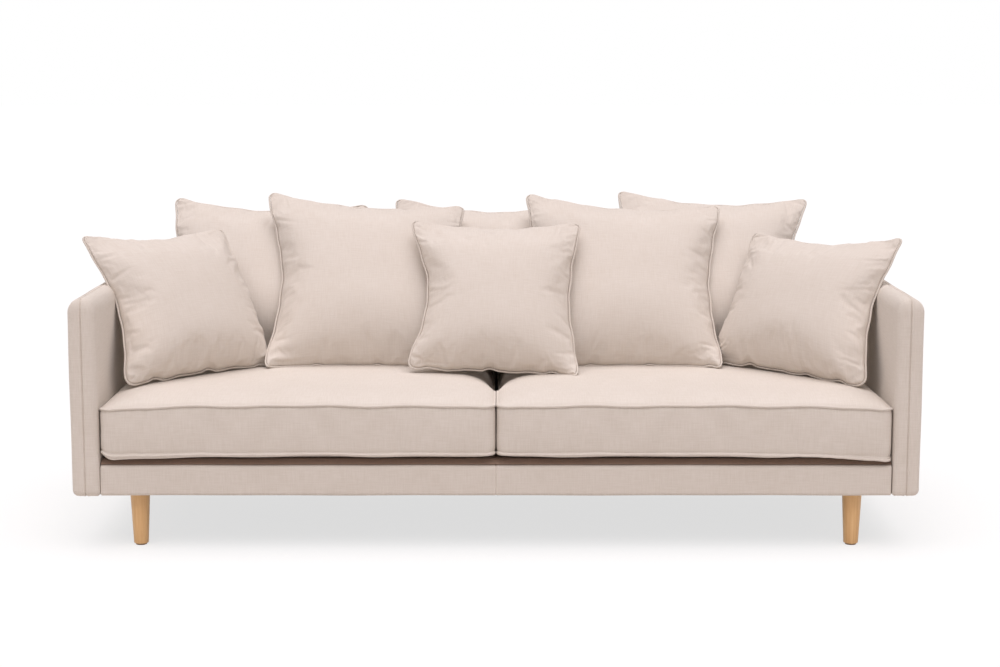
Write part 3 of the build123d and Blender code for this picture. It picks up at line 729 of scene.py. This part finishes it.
# %% Shape of the loose cushions
first_seed = 100
foot_wave = 7 * MM
top_roll = 22 * MM
side_puckers = 17
edge_puckers = 12
ground_gap = 1 * MM
foot = 1 - smooth_step(v, -1, -0.2)
lower_edge = 1 - smooth_step(v, -1, -0.85)
lower_ears = abs(u) ** edge_power * (1 - smooth_step(v, -1, -0.75))
upper_edge = (1 - u ** 2) * smooth_step(v, 0.6, 1)
front_index = numbered(*u.shape)
back_index = front_index.copy()
back_index[1:-1, 1:-1] = u.size + numbered(loose_count - 2, loose_count - 2)
corners = quads(front_index)
loose_faces = np.concatenate([corners, quads(back_index)[:, ::-1]])
loose_corners = np.concatenate([corners, corners[:, ::-1]]).ravel()
loose_rim = rim(front_index)
loose = {}
for seed, (name, given) in enumerate(settings.items()):
    half = (small_size if name.startswith("small") else large_size) / 2
    random = np.random.default_rng(first_seed + seed)
    low, high = box_corners(f"{name}_cushion_cover")
    lean, turn = np.radians(given["lean"]), np.radians(given["turn"])
    right = np.array([np.cos(turn), np.sin(turn), 0])
    rear = np.array([-np.sin(turn), np.cos(turn), 0])
    rise = rear * np.sin(lean) + np.array([0, 0, np.cos(lean)])
    face = np.cross(right, rise)
    x, y, across, up = lay_out(given, half, random)
    under = given["under"] * MM * (1 - u ** 2) * foot
    ears = np.where(u < 0, *given["forward"]) * MM * lower_ears
    lifted = foot_wave * np.clip(1.4 * seam_waves(x, random) - 0.4, 0, 1) * lower_edge
    flat = (low + high) / 2 + across[..., None] * right + up[..., None] * rise
    flat = flat + (under - ears)[..., None] * rear - (top_roll * upper_edge)[..., None] * face
    grids = []
    for full, side in zip(given["full"], (1, -1)):
        gather = 0
        for along, inward, count in ((y, u, side_puckers), (x, v, edge_puckers)):
            for end in (1, -1):
                gather = gather + puckers(along, half * (1 + end * inward), count, random)
        placed = flat + (side * (full * MM * dome(u, v, given["sink"]) + gather))[..., None] * face
        ground = seat_height(placed[..., 0], placed[..., 1])
        settle = (ground - low[2] + piping_radius - 0.5 * under + lifted) * foot
        placed[..., 2] = np.maximum(placed[..., 2] + settle, ground + ground_gap)
        grids.append(placed)
    points = np.concatenate([grids[0].reshape(-1, 3), grids[1][1:-1, 1:-1].reshape(-1, 3)])
    pattern = np.stack([x, y], -1).reshape(-1, 2)
    loose[name] = (points, pattern[loose_corners], face)
print("panels of", loose_count, "by", loose_count, "points")

# %% [markdown]
# Now the fill presses from inside. The seams are held, and the cloth is a little slack, so it settles
# between the folds and rounds up. No point may move far, which keeps the shape that the photo shows. The
# piping stands out from the sides, and along the top it sinks into the seam.

# %% Fill the loose cushions
loose_slack = 0.025
loose_pressure = 3
loose_frames = 9
most_move = 9 * MM
side_outset = 0.8
top_sink = 1.1
filled = fill_bags([
    (points, loose_faces, loose_rim, loose_slack, loose_pressure)
    for points, cloth, face in loose.values()
], loose_frames)
stands_out = piping_radius * (side_outset - top_sink * smooth_step(v.ravel()[loose_rim, None], 0.95, 1))
for (name, (points, cloth, face)), pressed in zip(loose.items(), filled):
    move = pressed - points
    far = np.maximum(np.linalg.norm(move, axis=1, keepdims=True), 1e-9)
    points = points + move * most_move * np.tanh(far / most_move) / far
    points[:, 2] = np.maximum(points[:, 2], seat_height(points[:, 0], points[:, 1]) + ground_gap)
    body = f"{name}_cushion"
    piece = make(f"{name}_cushion_linen", points, loose_faces, cushion_linen, cloth, body)
    subdivide(piece)
    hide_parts(f"{name}_cushion_cover", f"{name}_cushion_fill")
    path = points[loose_rim]
    path[:, 2] = np.maximum(path[:, 2], seat_height(path[:, 0], path[:, 1]) + piping_radius)
    cord(f"{name}_cushion_piping", body, path, face, outset=stands_out)
    print(name, "moved", round(1000 * far.mean(), 1), "mm, up to", points.max(0).round(3))

# %% [markdown]
# ## Upholstered slabs
# The arms, the back and the front rail are timber under padding under a tight cover, so they are blocks
# with soft edges. A sharp block is rounded by pulling each of its points towards the inner block, to the
# radius of that edge. The grid is finer at the edges, where the surface turns.

# %% Soft block
edge_lines = 7


def spread(low, high, radius_low, radius_high, step, extra=()):
    """Grid lines along one side: even steps in the middle, and even angles round each end."""
    turn = np.tan(np.linspace(0, np.pi / 4, edge_lines))
    inner = np.linspace(low + radius_low, high - radius_high, max(3, int((high - low) / step)))
    ends = low + radius_low * (1 - turn[::-1]), high - radius_high * (1 - turn)
    return np.unique(np.concatenate([*ends, inner[1:-1], extra]).round(6))


def soft_block(low, high, radius_low, radius_high, step, extra=((), (), ()), taper=None):
    """A rounded box: for a point p of the sharp box and the nearest point q of the inner box, q plus the
    radius times the direction from q to p. Six grids, welded at their borders, with flat coordinates per
    face. Taper gives a share of the two radii across x for each height."""
    low, high, radius_low, radius_high = (np.array(v, float) for v in (low, high, radius_low, radius_high))
    lines = [spread(low[k], high[k], radius_low[k], radius_high[k], step, extra[k]) for k in range(3)]
    sharp, faces, cloth, count = [], [], [], 0
    for axis in range(3):
        a, b = (axis + 1) % 3, (axis + 2) % 3
        one, two = np.meshgrid(lines[a], lines[b], indexing="ij")
        for side in (low, high):
            points = np.empty((*one.shape, 3))
            points[..., a] = one
            points[..., b] = two
            points[..., axis] = side[axis]
            face = quads(count + numbered(*one.shape))
            faces.append(face if side is high else face[:, ::-1])
            sharp.append(points.reshape(-1, 3))
            cloth.append(np.delete(points.reshape(-1, 3), axis, axis=1))
            count += one.size
    sharp, faces, cloth = np.concatenate(sharp), np.concatenate(faces), np.concatenate(cloth)
    radius_low = np.tile(radius_low, (len(sharp), 1))
    radius_high = np.tile(radius_high, (len(sharp), 1))
    if taper is not None:
        radius_low[:, 0] *= taper[0](sharp[:, 2])
        radius_high[:, 0] *= taper[1](sharp[:, 2])
    inner = np.clip(sharp, low + radius_low, high - radius_high)
    radius = np.where(sharp < inner, radius_low, radius_high)
    out = unit((sharp - inner) / radius)
    first, weld = np.unique(sharp.round(6), axis=0, return_index=True, return_inverse=True)[1:]
    points = (inner + radius * out)[first]
    normal = unit(out / radius)[first]
    return points, weld.ravel()[faces], cloth[faces.ravel()], normal


# %% [markdown]
# ## Seams in a tight cover
# A plain seam in a tight cover is a narrow groove with the cloth a little raised on both sides of it. On
# the arms the seam allowance is also sewn down beside the groove, with a row of stitches. One stitch is a
# small spindle of thread.

# %% Seam helpers
seam_lines = np.array([-14, -10, -7, -5, -3.5, -2.2, -1, 0, 1, 2.2, 3.5, 5, 7, 10, 14]) * MM
seam_depth = 4 * MM
seam_width = 1.5 * MM
ridge_height = 0.7 * MM
ridge_place = 5 * MM
ridge_width = 3 * MM
stitch_pitch = 7 * MM
stitch_radius = 0.6 * MM
stitch_side = 7 * MM
spindle_length = np.array([-1, -0.75, 0, 0.75, 1]) * 2.3 * MM
spindle_width = np.array([0.15, 0.8, 1, 0.8, 0.15]) * stitch_radius
spindle_turn = np.linspace(0, 2 * np.pi, 6, endpoint=False)


def seam_groove(x):
    """Depth of a plain seam at x = 0: a narrow dip between two low ridges, as e to the power -d squared."""
    ridges = ridge_height * np.exp(-((abs(x) - ridge_place) / ridge_width) ** 2)
    return ridges - seam_depth * np.exp(-(x / seam_width) ** 2)


def stitches(name, path, out):
    """A row of stitches: one small spindle, copied at even steps along a path on the cloth."""
    across = np.array([1.0, 0, 0])
    run = run_of(np.diff(path, axis=0))
    at = np.arange(stitch_pitch, run[-1] - stitch_pitch, stitch_pitch)
    place = np.stack([np.interp(at, run, path[:, k]) for k in range(3)], -1)
    normal = unit(np.stack([np.interp(at, run, out[:, k]) for k in range(3)], -1))
    along = unit(np.cross(normal, across))
    points = (place[:, None, None] + spindle_length[None, :, None, None] * along[:, None, None]
              + (spindle_width[:, None] * np.cos(spindle_turn))[None, ..., None] * across
              + (spindle_width[:, None] * np.sin(spindle_turn))[None, ..., None] * normal[:, None, None])
    index = numbered(len(spindle_length), len(spindle_turn))
    one = quads(np.pad(index, ((0, 0), (0, 1)), mode="wrap"))
    faces = (np.arange(len(points))[:, None, None] * index.size + one).reshape(-1, 4)
    return make(name, points, faces, piping_linen, np.zeros((faces.size, 2)), "frame")


# %% [markdown]
# ## Arms
# Each arm is a slim slab, rounder at the top and on the outside. Two panels meet in a seam that runs up
# the front, along the top and down the rear, with a row of stitches on its outer side. Tight cloth over
# foam is never quite flat, so the outer panel swells a little.

# %% Shape of an arm
arm_top_radius = 40 * MM
arm_inner_radius = 30 * MM
arm_foot_radius = 18 * MM
arm_end_radius = 20 * MM
arm_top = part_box("left_arm_cover")[1][2]
rail_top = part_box("front_rail_cover")[1][2]
top_zone = (arm_top - 4 * arm_top_radius, arm_top - arm_top_radius)
cushion_zone = (rail_top, rail_top + 60 * MM)


def outer_share(z):
    """Two fifths of the radius, and all of it at the top."""
    return 0.4 + 0.6 * smooth_step(z, *top_zone)


def inner_share(z):
    """A twentieth of the radius beside the rail, two thirds beside the cushions, all of it at the top."""
    return 0.05 + 0.6 * smooth_step(z, *cushion_zone) + 0.35 * smooth_step(z, *top_zone)


def arm_outline(low, high):
    """The seam from the side: up the front, along the top and down the rear, with a quarter ellipse between
    them. Places and outward directions, as y and z."""
    turn = np.linspace(0, np.pi / 2, 13)
    front_bend = np.stack([-np.cos(turn), np.sin(turn)], -1)
    rear_bend = front_bend[::-1] * np.array([-1, 1])
    radii = np.array([arm_end_radius, arm_top_radius])
    front = np.array([low[1], high[2]]) + radii * np.array([1, -1])
    rear = np.array([high[1], high[2]]) - radii
    foot_z = low[2] + arm_foot_radius
    bends = [front + front_bend * radii, rear + rear_bend * radii]
    places = np.concatenate([[[low[1], foot_z]], *bends, [[high[1], foot_z]]])
    return places, np.concatenate([[[-1, 0]], front_bend, rear_bend, [[1, 0]]])


# %% Arms
arm_step = 24 * MM
panel_swell = 2.5 * MM
arm_wave = 0.8 * MM
for side, sign in (("left", -1), ("right", 1)):
    low, high = box_corners(f"{side}_arm_cover")
    middle, half = (low + high) / 2, (high - low) / 2
    radii = (arm_top_radius, arm_inner_radius)[::sign]
    points, faces, cloth, normal = soft_block(
        low, high, (radii[1], arm_end_radius, arm_foot_radius), (radii[0], arm_end_radius, arm_top_radius),
        arm_step, (middle[0] + seam_lines, (), ()), taper=(outer_share, inner_share)[::-sign])
    place = (points - middle) / half
    swell = panel_swell * np.clip(1 - place[:, 1] ** 4, 0, 1) * np.clip(1 - place[:, 2] ** 4, 0, 1)
    y, z = points[:, 1], points[:, 2]
    wave = np.sin(17 * y + 9 * z + sign) * np.sin(11 * z - 5 * y)
    push = np.where(place[:, 0] * sign > 0.5, swell, 0) + arm_wave * wave
    push = push + seam_groove(points[:, 0] - middle[0])
    points = points + normal * push[:, None]
    arm = make(f"{side}_arm_linen", points, faces, cover_linen, cloth, "frame")
    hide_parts(f"{side}_arm_cover", f"{side}_arm_padding")
    places, facing = arm_outline(low, high)
    path = np.column_stack([np.full(len(places), middle[0] + sign * stitch_side), places])
    out = np.column_stack([np.zeros(len(facing)), facing])
    stitches(f"{side}_arm_stitches", path, out)
    print(side, "arm up to", points.max(0).round(3))

# %% [markdown]
# ## Front rail and back
# The rail and the back are wider than a roll of cloth, so each has a seam in the middle. It is pulled
# tight, so its groove is half as deep as that of the arms.

# %% Front rail and back
slab_step = 22 * MM
slab_wave = 0.7 * MM
tight_seam = 0.5
for name, nodes, radius_low, radius_high in (
    ("front_rail", ("front_rail_cover", "front_rail_padding"), (3, 14, 10), (3, 1.5, 12)),
    ("back", ("back_cover", "back_padding"), (8, 30, 12), (8, 30, 36)),
):
    low, high = box_corners(nodes[0])
    points, faces, cloth, normal = soft_block(
        low, high, np.array(radius_low) * MM, np.array(radius_high) * MM, slab_step, (seam_lines, (), ()))
    wave = np.sin(14 * points[:, 0] + 1) * np.sin(23 * points[:, 2] + 5 * points[:, 0])
    points = points + normal * (tight_seam * seam_groove(points[:, 0]) + slab_wave * wave)[:, None]
    slab = make(f"{name}_linen", points, faces, cover_linen, cloth, "frame")
    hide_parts(*nodes)
    print(name, "up to", points.max(0).round(3))

# %% [markdown]
# ## Deck and dust cover
# Under the seat cushions a felt pad and a cloth lie over the springs. They show when a cushion is pulled
# out, and at the front the cloth slopes down to the rail. The cloth's brown is painted shade, which darkens
# the gap above the rail. Under the base, a thin black cloth keeps the dust in and sags a little between
# its tacks.

# %% Deck
deck_step = 30 * MM
deck_dip = 2.5 * MM
apron = 20 * MM
deck_radius_low = np.array([3, 10, 0.5]) * MM
deck_radius_high = np.array([3, 3, 9]) * MM
low, high = box_corners("deck_cloth")
felt_low = box_corners("deck_felt")[0]
points, faces, cloth, normal = soft_block(
    np.minimum(low, felt_low), high, deck_radius_low, deck_radius_high, deck_step)
place = (points - (low + high) / 2) / ((high - low) / 2)
dip = deck_dip * np.clip(1 - place[:, 0] ** 2, 0, 1) * np.clip(1 - place[:, 1] ** 2, 0, 1)
points[:, 2] -= np.where(normal[:, 2] > 0.5, dip, 0)
drop = np.clip((high[2] - points[:, 2]) / (high[2] - felt_low[2]), 0, 1)
points[:, 1] -= np.where(place[:, 1] < -0.95, apron * drop ** 1.5, 0)
# The deck cloth's brown is painted shade, for the dark gap above the rail.
deck = make("deck_painted_shade_cloth", points, faces, deck_shade_linen, cloth, "frame")
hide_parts("deck_cloth", "deck_felt")
print("deck up to", points.max(0).round(3))

# %% Dust cover
dust_sag = 6 * MM
uneven = 0.25
low, high = box_corners("dust_cover")
x, y = np.meshgrid(np.linspace(low[0], high[0], 90), np.linspace(low[1], high[1], 40), indexing="ij")
s = (2 * x - low[0] - high[0]) / (high[0] - low[0])
t = (2 * y - low[1] - high[1]) / (high[1] - low[1])
sag = dust_sag * np.clip(1 - s ** 4, 0, 1) * np.clip(1 - t ** 4, 0, 1)
points = np.stack([x, y, low[2] - sag * (1 + uneven * np.sin(9 * x) * np.sin(13 * y))], -1)
faces = quads(numbered(*x.shape))[:, ::-1]
cloth = np.stack([x, y], -1).reshape(-1, 2)[faces.ravel()]
dust = make("dust_cover_cambric", points, faces, by_slot["black_cambric"], cloth, "frame")
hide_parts("dust_cover")
print("dust cover", (high - low)[:2].round(3), "m flat")

# %% [markdown]
# ## Light
# A white studio: even light from all round, and a wide soft light overhead that makes the tops brighter
# than the fronts. The lamps are a little pink and the cloth a little yellow, so that a lit surface is a
# warm white and light that goes from cloth to cloth turns yellow, as in the photo.

# %% Light
lamp_tint = (1.042, 0.98, 0.998)
sky_level = 0.32
overhead_level = 0.84
overhead_width = 75
overhead_tilt = 13


def shown_rays(tree):
    """1 for a ray from the camera or from a shiny or clear surface, 0 for light between matt surfaces."""
    rays = add(tree, "ShaderNodeLightPath", {}).outputs
    shown = rays["Is Camera Ray"]
    for kind in ("Is Glossy Ray", "Is Transmission Ray"):
        shown = math(tree, "MAXIMUM", shown, rays[kind])
    return shown


world = bpy.data.worlds.new("studio")
bpy.context.scene.world = world
world.use_nodes = True
sky = world.node_tree
view = shown_rays(sky)
tint = mix(sky, view, (*lamp_tint, 1), (1, 1, 1, 1))
level = add(sky, "ShaderNodeMapRange", {0: view, 3: sky_level, 4: 1.0}).outputs[0]
sky.links.new(tint, sky.nodes["Background"].inputs["Color"])
sky.links.new(level, sky.nodes["Background"].inputs["Strength"])

overhead = bpy.data.lights.new("overhead", "SUN")
overhead.energy = overhead_level * np.pi
overhead.color = lamp_tint
overhead.angle = np.radians(overhead_width)
lamp = bpy.data.objects.new("overhead", overhead)
lamp.rotation_euler = (np.radians(overhead_tilt), 0, 0)
bpy.context.scene.collection.objects.link(lamp)
print("studio lit")

# %% [markdown]
# ## Floor
# White paint, lit. To the camera most of it is pure white, so that the sofa's shadow stays light. To the
# sofa it is a greyer floor, which keeps the fronts darker than the tops. From below it is clear, so that
# the underside can be looked at.

# %% Floor
floor_size = 40
floor_glow = 0.7
floor_bounce = "#e2ddd8"
outline = np.array([[-1, -1, 0], [1, -1, 0], [1, 1, 0], [-1, 1, 0]]) * floor_size
floor_mesh = bpy.data.meshes.new("floor")
floor_mesh.from_pydata(outline.tolist(), [], [(0, 1, 2, 3)])
paint = mottled("floor_paint", "#f7f7f6", "#f9f9f8", (2000, 2000, 2000), 0.9)
tree = paint.node_tree
seen = shown_rays(tree)
glow = math(tree, "MULTIPLY", seen, floor_glow)
white = add(tree, "ShaderNodeEmission", {"Color": (1, 1, 1, 1), "Strength": 1.0}).outputs[0]
lit = tree.nodes["Principled BSDF"].outputs[0]
base = tree.nodes["Principled BSDF"].inputs["Base Color"]
grey = mix(tree, seen, linear(floor_bounce), base.links[0].from_socket)
tree.links.new(grey, base)
blend = add(tree, "ShaderNodeMixShader", {0: glow, 1: lit, 2: white}).outputs[0]
below = add(tree, "ShaderNodeNewGeometry", {}).outputs["Backfacing"]
clear = add(tree, "ShaderNodeBsdfTransparent", {}).outputs[0]
both = add(tree, "ShaderNodeMixShader", {0: below, 1: blend, 2: clear}).outputs[0]
tree.links.new(both, tree.nodes["Material Output"].inputs["Surface"])
floor_mesh.materials.append(paint)
floor = bpy.data.objects.new("floor", floor_mesh)
bpy.context.scene.collection.objects.link(floor)
print("floor", 2 * floor_size, "m wide")
